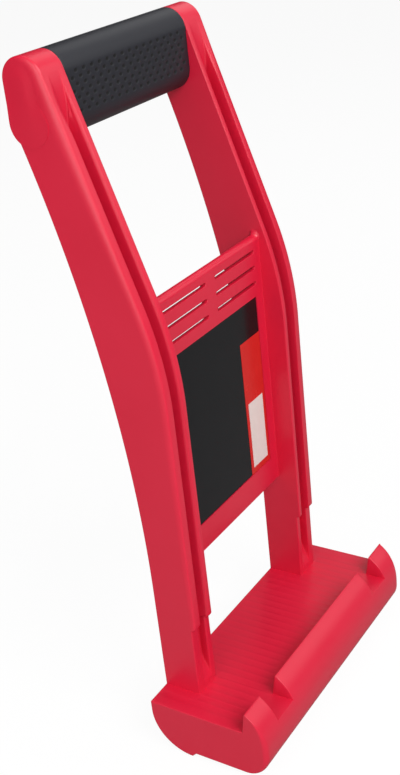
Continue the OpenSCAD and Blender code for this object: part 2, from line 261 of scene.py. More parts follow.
def bearing(point):
    """Angle of a vector in degrees."""
    return math.degrees(math.atan2(point[1], point[0]))


def leftward(curve, closed):
    """Unit normals to the left of a curve's direction, from the slope between neighbouring points."""
    if closed:
        curve = np.concatenate([curve[-2:], curve, curve[:2]])
    length = np.concatenate([[0], np.cumsum(np.linalg.norm(np.diff(curve, axis=0), axis=1))])
    slope = np.gradient(curve, length, axis=0)
    normal = np.stack([-slope[:, 1], slope[:, 0]], axis=1)
    normal /= np.linalg.norm(normal, axis=1)[:, None]
    return normal[2:-2] if closed else normal


def grid_faces(rows, cols, wrap_rows=False, wrap_cols=False):
    """Quads of a grid of points stored row by row; wrap joins the last row or column to the first."""
    index = np.arange(rows * cols).reshape(rows, cols)
    if wrap_rows:
        index = np.concatenate([index, index[:1]], axis=0)
    if wrap_cols:
        index = np.concatenate([index, index[:, :1]], axis=1)
    quads = np.stack([index[:-1, :-1], index[1:, :-1], index[1:, 1:], index[:-1, 1:]], axis=-1)
    return quads.reshape(-1, 4).tolist()


def side_faces(rows, cols):
    """Flat faces at both sides of a grid: its first column and its last."""
    index = np.arange(rows * cols).reshape(rows, cols)
    return [index[:, 0].tolist(), index[::-1, -1].tolist()]


def joined(parts):
    """Points and faces of several grids as one."""
    count = 0
    faces = []
    for points, part_faces in parts:
        faces += [[corner + count for corner in face] for face in part_faces]
        count += len(points)
    return np.concatenate([points for points, _ in parts]), faces


def moved_in(outline, inward, x, depth):
    """Outline points moved inwards by a depth for each x, as a grid: outline by lines across."""
    moved = outline[:, None] + inward[:, None] * depth[..., None]
    return np.concatenate([x[..., None], moved], axis=-1)


def eased(count, first, last):
    """Values at a run's points that pass from the first to the last by a smooth step."""
    return first + np.multiply.outer(smooth(np.linspace(0, 1, count)), last - first)


def make_piece(name, points, faces, nodes, material, sharp=SHARP, dent_and_shade=None, fill=False):
    """Puts points in millimetres into a mesh, merges doubles, turns faces outwards and mounts the piece.

    dent_and_shade is a number for each point, kept as an attribute that a material reads, where the rubber
    paints shade from it; fill closes open ends.
    """
    mesh = bpy.data.meshes.new(name)
    mesh.from_pydata(((points + origin) * MM).tolist(), [], faces)
    if dent_and_shade is not None:
        mesh.attributes.new("dent_and_shade", "FLOAT", "POINT").data.foreach_set("value", dent_and_shade)
    made = bmesh.new()
    made.from_mesh(mesh)
    bmesh.ops.remove_doubles(made, verts=made.verts, dist=MERGE)
    bmesh.ops.dissolve_degenerate(made, dist=MERGE, edges=made.edges)
    if fill:
        bmesh.ops.holes_fill(made, edges=[edge for edge in made.edges if edge.is_boundary])
    bmesh.ops.triangulate(made, faces=[face for face in made.faces if len(face.verts) > 4])
    bmesh.ops.recalc_face_normals(made, faces=made.faces)
    if made.calc_volume(signed=True) < 0:
        bmesh.ops.reverse_faces(made, faces=made.faces)
    made.to_mesh(mesh)
    made.free()
    mesh.shade_smooth()
    mesh.set_sharp_from_angle(angle=math.radians(sharp))
    mesh.materials.append(material)
    piece = bpy.data.objects.new(name, mesh)
    bpy.context.scene.collection.objects.link(piece)
    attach(piece, "root")
    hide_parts(*nodes)
    return piece


def mirrored(points):
    """The same points on the other side of the middle plane."""
    return points * np.array([-1, 1, 1])


# Materials

def hex_colour(code):
    """An sRGB hex code as a linear colour."""
    srgb = np.array([int(code[i:i + 2], 16) for i in (1, 3, 5)]) / 255
    linear = np.where(srgb <= 0.04045, srgb / 12.92, ((srgb + 0.055) / 1.055) ** 2.4)
    return [float(value) for value in linear] + [1.0]


def add_node(tree, kind, inputs=None, **settings):
    """Adds a node, sets its properties, and sets or links each input that is named."""
    made = tree.nodes.new(kind)
    for key, value in settings.items():
        setattr(made, key, value)
    for key, value in (inputs or {}).items():
        if isinstance(value, bpy.types.NodeSocket):
            tree.links.new(value, made.inputs[key])
        else:
            made.inputs[key].default_value = value
    return made


def new_material(name):
    """An empty node material, its tree and its object coordinates."""
    material = bpy.data.materials.new(name)
    material.use_nodes = True
    tree = material.node_tree
    tree.nodes.clear()
    place = add_node(tree, "ShaderNodeTexCoord").outputs["Object"]
    return material, tree, place


def per_metre(size_mm):
    """Texture scale that gives a pattern of this size."""
    return 1 / (size_mm * MM)


def finish_material(tree, inputs):
    """Puts the surface shader and the output on a material."""
    shader = add_node(tree, "ShaderNodeBsdfPrincipled", inputs)
    add_node(tree, "ShaderNodeOutputMaterial", {"Surface": shader.outputs["BSDF"]})


def moulded_abs():
    """Red ABS from a fine-textured mould: even satin red, faint flow clouds and soft, wide highlights."""
    material, tree, place = new_material("moulded_red_abs")
    flow = add_node(tree, "ShaderNodeTexNoise", {"Vector": place, "Scale": per_metre(35), "Detail": 2.0})
    # Tool texture of 0.15 mm would not show, so it is drawn at 0.7 mm
    grain = add_node(tree, "ShaderNodeTexNoise", {"Vector": place, "Scale": per_metre(0.7), "Detail": 3.0})
    colour = add_node(tree, "ShaderNodeMix", {"Factor": flow.outputs["Fac"], "A": hex_colour("#d01434"),
                                              "B": hex_colour("#d81a3b")}, data_type="RGBA")
    gloss = add_node(tree, "ShaderNodeMapRange", {"Value": flow.outputs["Fac"],
                                                  "To Min": 0.34, "To Max": 0.42})
    bump = add_node(tree, "ShaderNodeBump", {"Height": grain.outputs["Fac"],
                                             "Strength": 0.05, "Distance": 0.2 * MM})
    finish_material(tree, {"Base Color": colour.outputs["Result"], "Roughness": gloss.outputs["Result"],
                           "Normal": bump.outputs["Normal"], "IOR": 1.54})
    return material


def soft_grip_rubber():
    """Thermoplastic rubber, moulded matt: dark grey with a dull sheen, with painted shade that darkens it
    down in the dimples.
    """
    material, tree, place = new_material("moulded_grey_rubber")
    dent_and_shade = add_node(tree, "ShaderNodeAttribute", attribute_name="dent_and_shade")
    # Matt skin of 0.1 mm would not show, so it is drawn at 0.6 mm
    skin = add_node(tree, "ShaderNodeTexNoise", {"Vector": place, "Scale": per_metre(0.6), "Detail": 3.0})
    # Painted shade: the dimples' share turns the colour nearly black, standing in for the shade down in
    # these hollows
    colour = add_node(tree, "ShaderNodeMix", {"Factor": dent_and_shade.outputs["Fac"], "A": hex_colour("#1a1b23"),
                                              "B": hex_colour("#020204")}, data_type="RGBA")
    gloss = add_node(tree, "ShaderNodeMapRange", {"Value": skin.outputs["Fac"],
                                                  "To Min": 0.46, "To Max": 0.56})
    dull = add_node(tree, "ShaderNodeMix", {"Factor": dent_and_shade.outputs["Fac"], "A": gloss.outputs["Result"],
                                            "B": 0.95})
    bump = add_node(tree, "ShaderNodeBump", {"Height": skin.outputs["Fac"],
                                             "Strength": 0.08, "Distance": 0.2 * MM})
    finish_material(tree, {"Base Color": colour.outputs["Result"], "Roughness": dull.outputs["Result"],
                           "Normal": bump.outputs["Normal"], "IOR": 1.52})
    return material


# Share of a clear film's reflection that is left by its dull overprint varnish
film_gloss = 0.16


def printed_film(name, low, high, rough_low, rough_high, wave_mm):
    """Printed polyester film: an even ink under a clear face, with faint waves that bend reflections."""
    material, tree, place = new_material(name)
    wave = add_node(tree, "ShaderNodeTexNoise", {"Vector": place, "Scale": per_metre(wave_mm),
                                                 "Detail": 2.0})
    colour = add_node(tree, "ShaderNodeMix", {"Factor": wave.outputs["Fac"], "A": hex_colour(low),
                                              "B": hex_colour(high)}, data_type="RGBA")
    gloss = add_node(tree, "ShaderNodeMapRange", {"Value": wave.outputs["Fac"],
                                                  "To Min": rough_low, "To Max": rough_high})
    bump = add_node(tree, "ShaderNodeBump", {"Height": wave.outputs["Fac"],
                                             "Strength": 0.03, "Distance": 0.5 * MM})
    finish_material(tree, {"Base Color": colour.outputs["Result"], "Roughness": gloss.outputs["Result"],
                           "Normal": bump.outputs["Normal"], "IOR": 1.5, "Specular IOR Level": film_gloss})
    return material


def zinc_plated_steel():
    """Turned steel with bright zinc plating: pale grey metal with small cloudy changes of gloss."""
    material, tree, place = new_material("zinc_plated_steel")
    cloud = add_node(tree, "ShaderNodeTexNoise", {"Vector": place, "Scale": per_metre(1.5), "Detail": 3.0})
    colour = add_node(tree, "ShaderNodeMix", {"Factor": cloud.outputs["Fac"], "A": hex_colour("#8f9196"),
                                              "B": hex_colour("#b4b6ba")}, data_type="RGBA")
    gloss = add_node(tree, "ShaderNodeMapRange", {"Value": cloud.outputs["Fac"],
                                                  "To Min": 0.25, "To Max": 0.45})
    finish_material(tree, {"Base Color": colour.outputs["Result"], "Roughness": gloss.outputs["Result"],
                           "Metallic": 1.0})
    return material


def moulded_nylon():
    """Black glass-filled nylon as moulded: nearly black, with faint pale streaks from the fibres."""
    material, tree, place = new_material("moulded_black_nylon")
    streak = add_node(tree, "ShaderNodeTexNoise", {"Vector": place, "Scale": per_metre(2), "Detail": 4.0})
    colour = add_node(tree, "ShaderNodeMix", {"Factor": streak.outputs["Fac"], "A": hex_colour("#242429"),
                                              "B": hex_colour("#34343a")}, data_type="RGBA")
    gloss = add_node(tree, "ShaderNodeMapRange", {"Value": streak.outputs["Fac"],
                                                  "To Min": 0.4, "To Max": 0.55})
    finish_material(tree, {"Base Color": colour.outputs["Result"], "Roughness": gloss.outputs["Result"],
                           "IOR": 1.53})
    return material


red_abs = moulded_abs()
rubber = soft_grip_rubber()
black_film = printed_film("gloss_black_film", "#101012", "#161618", 0.16, 0.22, 9)
red_print = printed_film("gloss_red_print", "#c7201f", "#cf2a25", 0.22, 0.3, 9)
write_on_print = printed_film("matt_write_on_print", "#d9c9c4", "#e2d3ce", 0.5, 0.62, 4)
steel = zinc_plated_steel()
nylon = moulded_nylon()


# Arms

def head_edge(out_y):
    """Rounding of a head's edge, from the outward direction's y: small behind, wide in front."""
    share = smooth((1 - np.asarray(out_y)) / 2)[..., None]
    return rear_edge + (front_edge - rear_edge) * share


def neck_centre(back_c, low_c):
    """Lower of the two points that lie neck_r inside the back's circle and neck_r outside the head's."""
    across = low_c - back_c
    reach = np.linalg.norm(across)
    near = (back_r - neck_r) ** 2 - (head_r + neck_r) ** 2
    foot = (near + reach ** 2) / (2 * reach)
    rise = math.sqrt((back_r - neck_r) ** 2 - foot ** 2)
    across = across / reach
    aside = rise * np.array([across[1], -across[0]])
    middle = back_c + foot * across
    return min(middle + aside, middle - aside, key=lambda centre: centre[1])


def brow_centre(top_c, bend_top, up, out):
    """Lower of the two points that lie brow_r in front of the leaning line and brow_r outside the head."""
    start = bend_top + out * brow_r
    gap = start - top_c
    middle = gap @ up
    slide = -middle - math.sqrt(middle ** 2 - gap @ gap + (head_r + brow_r) ** 2)
    return start + up * slide


def arm_runs():
    """Side view of an arm as runs: the kind of run, its points, and the edges at its start and its end.

    It goes up the back, round the head and down the front. A small hollow arc, the neck, joins the curved
    back to the oval head. A larger one, the brow, joins the head to the leaning front.
    """
    top_c = np.array([head_y, head_z + head_span / 2])
    low_c = np.array([head_y, head_z - head_span / 2])
    back_c = np.array([back_r, back_start])
    bend_c = np.array([bend_r - arm_d, bend_start])
    up = np.array([math.sin(arm_lean), math.cos(arm_lean)])
    out = np.array([-math.cos(arm_lean), math.sin(arm_lean)])
    bend_top = bend_c + bend_r * out

    neck_c = neck_centre(back_c, low_c)
    neck_foot = back_c + (neck_c - back_c) * back_r / (back_r - neck_r)
    neck_end = low_c + (neck_c - low_c) * head_r / (head_r + neck_r)

    brow_c = brow_centre(top_c, bend_top, up, out)
    brow_start = top_c + (brow_c - top_c) * head_r / (head_r + brow_r)
    brow_end = brow_c - out * brow_r
    lean_stop = brow_end - up * brow_run

    neck_edge = head_edge((neck_end - low_c)[0] / head_r)
    neck_a0 = bearing(neck_foot - neck_c) % 360
    neck_a1 = bearing(neck_end - neck_c) % 360
    brow_a0 = bearing(brow_start - brow_c)
    brow_a1 = bearing(brow_end - brow_c)
    tip_c = np.array([tip_r - arm_d, step_h + tip_r])
    front = np.array([-arm_d, 0])
    leg_stop = leg_edge_start - leg_edge_fade
    return [
        ("back", line([0, -foot_sink], [0, back_start], 24), foot_edge, back_edge),
        ("back", arc(back_c, back_r, 180, bearing(neck_foot - back_c) % 360, 60), back_edge, back_edge),
        ("back", arc(neck_c, neck_r, neck_a0, neck_a1, 8), back_edge, neck_edge),
        ("head", arc(low_c, head_r, bearing(neck_end - low_c), 0, 10), neck_edge, neck_edge),
        ("head", line(low_c + [head_r, 0], top_c + [head_r, 0], 8), neck_edge, neck_edge),
        ("head", arc(top_c, head_r, 0, bearing(brow_start - top_c), 36), neck_edge, front_edge),
        ("head", arc(brow_c, brow_r, brow_a0, brow_a1, 8), front_edge, front_edge),
        ("lean", line(brow_end, lean_stop, 18), front_edge, upper_edge),
        ("lean", line(lean_stop, bend_top, 40), upper_edge, middle_edge),
        ("lean", arc(bend_c, bend_r, 180 - math.degrees(arm_lean), 180, 24), middle_edge, middle_edge),
        ("front", line(front + [0, bend_start], front + [0, tip_c[1]], 54), middle_edge, tip_edge),
        ("front", arc(tip_c, tip_r, 180, 270, 9), tip_edge, leg_edge),
        ("front", line(tip_c - [0, tip_r], [-leg_d, step_h], 4), leg_edge, leg_edge),
        ("leg", line([-leg_d, step_h - STEP], [-leg_d, leg_edge_start], 24), leg_edge, leg_edge),
        ("leg", line([-leg_d, leg_edge_start], [-leg_d, leg_stop], 10), leg_edge, foot_edge),
        ("leg", line([-leg_d, leg_stop], [-leg_d, -foot_sink], 10), foot_edge, foot_edge),
    ]


def arm_outline():
    """An arm's outline, with each point's kind of run, edge rounding and direction inwards.

    Runs meet at their ends, so each but the last leaves out its last point.
    """
    runs = arm_runs()

    def end_to_end(parts):
        return np.concatenate([part[:-1] for part in parts[:-1]] + [parts[-1]])

    outline = end_to_end([points for _, points, _, _ in runs])
    kind = end_to_end([np.full(len(points), name) for name, points, _, _ in runs])
    edge = end_to_end([eased(len(points), first, last) for _, points, first, last in runs])
    inward = leftward(outline, False)
    inward[(kind == "front") | (kind == "leg")] = [1, 0]
    on_head = kind == "head"
    edge[on_head] = head_edge(-inward[on_head, 0])
    return outline, kind, edge, inward


def channel_depth(outline, kind, inward):
    """Depth of the channel at each point of an arm's outline, and how far its outer side is a slope there.

    The channel's floor lies back_wall in front of the back, so where that is curved, the depth is the way
    inwards to a circle of radius back_r + back_wall. Below the head the depth fades to nothing, and the
    outer side turns into a slope; at its foot the floor rises to the leg's shallow groove.
    """
    y, z = outline.T
    rel = outline - [back_r, back_start]
    ahead = np.sum(rel * inward, axis=1)
    inside = ahead ** 2 - np.sum(rel ** 2, axis=1) + (back_r + back_wall) ** 2
    to_floor = -ahead - np.sqrt(np.maximum(inside, 0))
    deep = np.where(z > back_start, to_floor, -back_wall - y)
    deep -= (leg_d - leg_channel_d - back_wall) * (1 - smooth((z - step_h) / channel_ramp))
    run_out = np.clip((channel_top - z) / channel_run, 0, 1)
    deep = deep * run_out ** channel_power
    shallow = leg_channel_d * smooth((z - leg_channel_start + leg_fade / 2) / leg_fade)
    on_leg = kind == "leg"
    on_channel = (kind == "lean") | (kind == "front")
    depth = np.where(on_leg, shallow, np.where(on_channel, deep, 0))
    slope = np.where(on_leg, 0, smooth((slope_start_share - run_out) / slope_run_share))
    return depth[:, None], slope[:, None]


def arm_shape():
    """Points of the right arm, outline by section, and its faces.

    Each outline point moves inwards by d, the depth of the section at x. The section is a rounded edge,
    a flange, the channel with its rounded shoulders and foot, the other flange and its rounded edge.
    """
    outline, kind, edge, inward = arm_outline()
    depth, slope = channel_depth(outline, kind, inward)
    on_leg = (kind == "leg")[:, None]
    sin, cos = quarter(7)
    outer_w, outer_d, inner_r = (edge[:, [i]] for i in range(3))
    near_x = arm_in + flange_t
    far_x = arm_out - outer_flange_t
    near_w = np.where(on_leg, leg_shoulder_r, inner_shoulder_w)
    near_d = np.minimum(np.where(on_leg, leg_shoulder_r, inner_shoulder_d), shoulder_depth_share * depth)
    far_w = outer_shoulder_r + shoulder_fade * slope
    far_d = np.minimum(outer_shoulder_r, depth / 2) * (1 - slope) + depth / 2 * slope
    foot_w = channel_foot_r + foot_fade * slope
    foot_d = np.minimum(channel_foot_r, foot_depth_share * depth)
    slope_d = foot_d * (1 - slope) + depth / 2 * slope
    near_foot_x = near_x + np.where(on_leg, 0, inner_wall_lean) * (depth - foot_d)
    ones = np.ones_like(depth)
    x = np.concatenate([
        arm_in * ones,
        arm_in + inner_r * (1 - sin[::-1]),
        near_x - near_w * (1 - sin),
        near_foot_x + channel_foot_r * (1 - cos),
        far_x - foot_w * (1 - cos[::-1]),
        far_x + far_w * (1 - sin[::-1]),
        arm_out - outer_w * (1 - sin),
        arm_out * ones,
    ], axis=1)
    d = np.concatenate([
        inner_r + side_ring,
        inner_r * (1 - cos[::-1]),
        near_d * (1 - cos),
        depth - foot_d * (1 - sin),
        depth - slope_d * (1 - sin[::-1]),
        far_d * (1 - cos[::-1]),
        outer_d * (1 - cos),
        outer_d + side_ring,
    ], axis=1)
    rows, cols = x.shape
    foot = list(range(cols)) + list(range(rows * cols - 1, rows * cols - cols - 1, -1))
    faces = grid_faces(rows, cols) + side_faces(rows, cols) + [foot]
    return moved_in(outline, inward, x, d).reshape(-1, 3), faces


arm_points, arm_faces = arm_shape()
make_piece("right_arm_shell", arm_points, arm_faces, ["right_arm"], red_abs)
make_piece("left_arm_shell", mirrored(arm_points), arm_faces, ["left_arm"], red_abs)


# Head caps and grip

def oval(way_round):
    """Points of the head's oval at lengths round it, counted from the front's middle upwards.

    Gives each length, counted from minus half to half of the way round, and its point as two parts: a spine
    point on the oval's upright middle line, and the outward direction in which a radius is added to it.
    """
    half = head_span / 2
    t = (way_round + head_around / 2) % head_around - head_around / 2
    bent = np.sign(t) * np.clip((np.abs(t) - half) / head_r, 0, math.pi)
    back = np.abs(t) - half - math.pi * head_r
    up = np.where(back > 0, np.sign(t) * (half - back), np.clip(t, -half, half))
    spine = np.stack([np.full(len(t), head_y), head_z + up], axis=1)
    return t, spine, np.stack([-np.cos(bent), np.sin(bent)], axis=1)


def cap_shape():
    """Points of the right cap: the oval's rings, from a small step at its edge up to a low, smooth crown.

    Where the arm's edge follows the oval, the cap starts level with the head's side, inside the edge's
    rounding; lower down it starts at the full oval. From there x rises as a smooth step of the way to the
    middle line.
    """
    turn = math.pi * head_r
    ends = np.cumsum([0, head_span / 2, turn, head_span, turn, head_span / 2])
    stretches = zip(ends, ends[1:], [8, 28, 16, 28, 8])
    stations = [np.linspace(begin, end, count, endpoint=False) for begin, end, count in stretches]
    _, spine, way = oval(np.concatenate(stations))
    height = spine[:, 1] + head_r * way[:, 1] - head_z
    high = smooth((height - cap_step_low) / (cap_step_high - cap_step_low))
    start = head_r - head_edge(way[:, 0])[:, 1] * high
    foot = arm_out + cap_step * (1 - high)
    t = np.linspace(0, 1, 14)[:, None]
    rise = foot + (arm_out + cap_crown - foot) * smooth(t)
    x = np.concatenate([np.full((1, len(start)), arm_out - cap_sink), rise])
    r = np.concatenate([start[None], start * (1 - t)])
    points = np.concatenate([x[..., None], spine[None] + r[..., None] * way[None]], axis=-1)
    rows, cols = x.shape
    faces = grid_faces(rows, cols, wrap_cols=True)
    faces.append(list(range(cols)))
    return points.reshape(-1, 3), faces


cap_points, cap_faces = cap_shape()
make_piece("right_cap_shell", cap_points, cap_faces, ["right_end_cap"], red_abs)
make_piece("left_cap_shell", mirrored(cap_points), cap_faces, ["left_end_cap"], red_abs)


def sleeve_shape():
    """Points of the grip sleeve: the head's oval carried along x, with rounded ends and an inside wall.

    Dimples are ovals in staggered rows on the front. Each sinks the wall by a depth that falls to nothing
    at its rim, as 1 less a smooth step over the outer part of the way from its middle to its rim.
    """
    low = dimple_top - (dimple_rows - 1) * dimple_row - dimple_h
    high = dimple_top + dimple_h
    fine = np.linspace(low, high, round((high - low) / dimple_mesh))
    plain = np.linspace(high, head_around + low, plain_lines)[1:-1]
    t, spine, way = oval(np.concatenate([fine, plain]))

    long = np.linspace(-arm_in + sleeve_end_r, arm_in - sleeve_end_r, long_lines)
    sin, cos = quarter(5)
    end_x = arm_in - sleeve_end_r * (1 - cos[:-1])
    end_in = sleeve_end_r * (1 - sin[:-1])
    x = np.concatenate([-end_x, long, end_x[::-1], [arm_in, -arm_in]])
    inset = np.concatenate([end_in, np.zeros(len(long)), end_in[::-1], [sleeve_t, sleeve_t]])

    row = np.clip(np.round((dimple_top - t) / dimple_row), 0, dimple_rows - 1)
    off_t = t - (dimple_top - row * dimple_row)
    column = (x[None] - (row[:, None] % 2) * dimple_pitch / 2) / dimple_pitch
    off_x = (column - np.round(column)) * dimple_pitch
    apart = np.hypot(2 * off_t[:, None] / dimple_h, 2 * off_x / dimple_w)
    inside = (np.abs(x[None] - off_x) < arm_in - dimple_margin) & (inset == 0)[None]
    # The same share sinks the wall and, in the rubber, paints shade down in the dimples
    dent_and_shade = (1 - smooth((apart - dimple_wall) / (1 - dimple_wall))) * inside
    r = head_r - inset[None] - dimple_depth * dent_and_shade
    flat = spine[:, None] + r[..., None] * way[:, None]
    points = np.concatenate([np.broadcast_to(x[None, :, None], flat.shape[:2] + (1,)), flat], axis=-1)
    rows, cols = r.shape
    return points.reshape(-1, 3), grid_faces(rows, cols, wrap_rows=True, wrap_cols=True), dent_and_shade.ravel()


sleeve_points, sleeve_faces, sleeve_dent_and_shade = sleeve_shape()
make_piece("grip_sleeve_skin", sleeve_points, sleeve_faces, ["grip_sleeve"], rubber,
           sleeve_sharp, sleeve_dent_and_shade)


# Web

def cove(x, r):
    """How far the web flares next to an arm: a hollow quarter circle of radius r."""
    inside = np.clip(r - (arm_in - np.abs(x)), 0, r)
    return r - np.sqrt(r ** 2 - inside ** 2)


def web_stations():
    """Lines across one half of the web, closer together at the label's side and where it flares."""
    edge = label_half + label_gap
    closer = 1 - quarter(9)[0]
    half = np.concatenate([np.linspace(0, edge - STEP, 15), [edge + STEP, edge + label_border],
                           arm_in - flare_r * closer, arm_in - cove_r * closer, [arm_in + web_sink]])
    return np.unique(np.round(half, 3))


def slot_cell(z0, z1, across):
    """One cell of the web round a slot: rings from the cell's edge to the slot, through it and out behind.

    Each point of the cell's edge is carried straight towards the nearest point of the slot's middle line,
    until it is half the slot's height away. The slot's rims are quarter ellipses, small in front and wide
    behind.
    """
    up = np.linspace(z0, z1, 9)
    edge_x = np.concatenate([across[:-1], np.full(len(up) - 1, across[-1]), across[:0:-1],
                             np.full(len(up) - 1, across[0])])
    edge_z = np.concatenate([np.full(len(across) - 1, z0), up[:-1],
                             np.full(len(across) - 1, z1), up[:0:-1]])
    edge = np.stack([edge_x, edge_z], axis=1)
    r = slot_h / 2
    spine = np.stack([np.clip(edge_x, slot_rib / 2 + r, slot_rib / 2 + slot_l - r),
                      np.full(len(edge_x), (z0 + z1) / 2)], axis=1)
    way = edge - spine
    far = np.linalg.norm(way, axis=1)[:, None]
    way = way / far
    sin, cos = quarter(7)
    share = slot_ring_shares[:, None, None]

    def side(face_y, inward, rim_w, rim_d):
        flat = far[None] * (1 - share) + (r + rim_w) * share
        rolled = (r + rim_w * (1 - sin))[:, None, None] * np.ones_like(far)[None]
        sunk = np.concatenate([np.zeros(len(share)), rim_d * (1 - cos)])
        ring = spine[None] + np.concatenate([flat, rolled]) * way[None]
        y = face_y + inward * (sunk[:, None] - cove(ring[..., 0], cove_r))
        return np.stack([ring[..., 0], y, ring[..., 1]], axis=-1)

    front = side(-web_y, 1, slot_edge_r, slot_edge_r)
    rear = side(web_t - web_y, -1, slot_flare_w, slot_flare_d)
    points = np.concatenate([front, rear[::-1]])
    rows, cols = points.shape[:2]
    return points.reshape(-1, 3), grid_faces(rows, cols, wrap_cols=True)


def web_strip(profile, across, sunk):
    """A profile carried across the web, moved out by the cove, more so upwards, and in by sunk."""
    way = -leftward(profile, False)
    upward = np.clip(way[:, [1]], 0, 1)
    shift = cove(across, cove_r)[None] * (1 - upward) + cove(across, flare_r)[None] * upward - sunk
    y = profile[:, [0]] + way[:, [0]] * shift
    z = profile[:, [1]] + way[:, [1]] * shift
    points = np.stack([np.broadcast_to(across[None], y.shape), y, z], axis=-1)
    rows, cols = y.shape
    return points.reshape(-1, 3), grid_faces(rows, cols)


def web_shape():
    """Points of the web: slot cells, a strip over the top edge, and a strip round the part with the label.

    The front of the lower strip sinks by the recess where the label lies.
    """
    half = web_stations()
    across = np.concatenate([-half[:0:-1], half])
    front_y = -web_y
    rear_y = web_t - web_y
    upper = web_top - slot_first + slot_pitch / 2
    lower = upper - slot_rows * slot_pitch
    r, brow = web_edge_r, web_brow_r
    parts = []
    for row in range(slot_rows):
        cell_points, cell_faces = slot_cell(upper - (row + 1) * slot_pitch, upper - row * slot_pitch, half)
        parts.append((cell_points, cell_faces))
        parts.append((mirrored(cell_points), cell_faces))
    over_top = np.concatenate([
        line([rear_y, upper], [rear_y, web_top - r], 3)[:-1],
        arc([rear_y - r, web_top - r], r, 0, 90, 7),
        arc([front_y + brow, web_top - brow], brow, 90, 180, 10),
        line([front_y, web_top - brow], [front_y, upper], 3)[1:]])
    parts.append(web_strip(over_top, across, np.zeros((len(over_top), len(across)))))
    top, bottom = label_top + label_gap, label_bottom - label_gap
    heights = np.concatenate([[lower, top + STEP], np.linspace(top - STEP, bottom + STEP, 12),
                              [bottom - STEP, (bottom + web_bottom) / 2]])
    face = np.stack([np.full(len(heights), front_y), heights], axis=1)
    under = np.concatenate([
        face,
        arc([front_y + r, web_bottom + r], r, 180, 270, 7),
        arc([rear_y - r, web_bottom + r], r, 270, 360, 7),
        line([rear_y, web_bottom + r], [rear_y, lower], 12)[1:]])
    in_label = (np.abs(across)[None] < label_half + label_gap) & (under[:, [1]] < top)
    in_label &= (under[:, [1]] > bottom) & (np.arange(len(under))[:, None] < len(face))
    parts.append(web_strip(under, across, label_recess * in_label))
    return joined(parts)


web_points, web_faces = web_shape()
make_piece("web_shell", web_points, web_faces, ["web_panel"], red_abs, fill=True)


# Foot tray

def tray_runs():
    """Side view of the tray as runs: the kind of run, its points, and the end rounding at its start and end.

    The lip's outside is the circle through its tip and the toe's foremost line, upright there.
    """
    run = toe_reach - lip_foot - lip_lean
    rise = lip_h + belly_drop
    lip_r = (run ** 2 + rise ** 2) / run / 2
    lip_c = np.array([lip_r - toe_reach, -belly_drop])
    toe_c = np.array([toe_r - toe_reach, toe_r - base_h])
    heel_c = np.array([-heel_r, heel_r - tray_h])
    tip = np.array([-lip_foot - lip_lean, lip_h])
    e = floor_edge_r
    lean = math.degrees(math.atan2(lip_lean, lip_h))
    tip_c = tip - [lip_tip_r, lip_tip_r]
    tip_start = tip_c + arc([0, 0], lip_tip_r, lean, lean, 1)[0]
    tip_turn = bearing(tip - lip_c)
    cover_turn = 270 - math.degrees(math.asin((cover_front + toe_c[0]) / toe_r))
    turn = math.degrees(STEP / toe_r)
    inset = -np.array([rib_inset, leg_d + rib_inset, lip_foot - rib_inset])
    floor_y = np.concatenate([line(-e, inset[0] + STEP, 2), line(inset[0] - STEP, inset[1] + STEP, 3),
                              line(inset[1] - STEP, inset[2] + STEP, 7),
                              line(inset[2] - STEP, -lip_foot, 3)])
    floor = np.concatenate([floor_y, np.zeros_like(floor_y)], axis=1)
    base_y = np.array([-cover_back - STEP, -cover_back + STEP, -heel_r - heel_drop])
    base = np.stack([base_y, np.full(3, -base_h)], axis=1)
    small, wide, fine = end_edge, belly_edge, lip_edge
    return [
        ("floor", floor, small, small),
        ("lip", line([-lip_foot, 0], tip_start, 7), small, fine),
        ("lip", arc(tip_c, lip_tip_r, lean, tip_turn - tip_stop, 6), fine, fine),
        ("lip", arc(lip_c, lip_r, tip_turn + lip_stop, 180, 20), fine, wide),
        ("toe", arc(toe_c, toe_r, 180, cover_turn - turn, 16), wide, small),
        ("base", arc(toe_c, toe_r, cover_turn + turn, 270, 4), small, small),
        ("base", base, small, small),
        ("heel", arc(heel_c, heel_r, -90, 0, 28), small, small),
        ("heel", arc([-e, -e], e, 0, 90, 6), small, small),
    ]


def tray_outline():
    """The tray's outline, with each point's kind of run, end rounding and direction inwards.

    Where two runs meet, the point is kept once.
    """
    runs = tray_runs()
    outline = np.concatenate([points for _, points, _, _ in runs])
    kind = np.concatenate([np.full(len(points), name) for name, points, _, _ in runs])
    edge = np.concatenate([eased(len(points), first, last) for _, points, first, last in runs])
    apart = np.linalg.norm(outline - np.roll(outline, 1, axis=0), axis=1) > STEP / 10
    return outline[apart], kind[apart], edge[apart], leftward(outline[apart], True)


def tray_stations():
    """Lines across the tray: the grooves' flanks, the notches' rims and the sides of the cover's recess."""
    flank = np.array([-rib_gap / 2, rib_flank - rib_gap / 2, rib_gap / 2 - rib_flank, rib_gap / 2])
    roll = notch_edge_r * (1 - quarter(5)[0])
    half = np.concatenate([(grooves[:, None] + flank).ravel(), arm_in - roll - STEP, [arm_in + STEP],
                           [arm_out - STEP], arm_out + roll + STEP,
                           [cover_half_x - STEP, cover_half_x + STEP]])
    half = np.unique(np.round(half[half < tray_half - belly_edge], 4))
    return np.concatenate([-half[::-1], half])


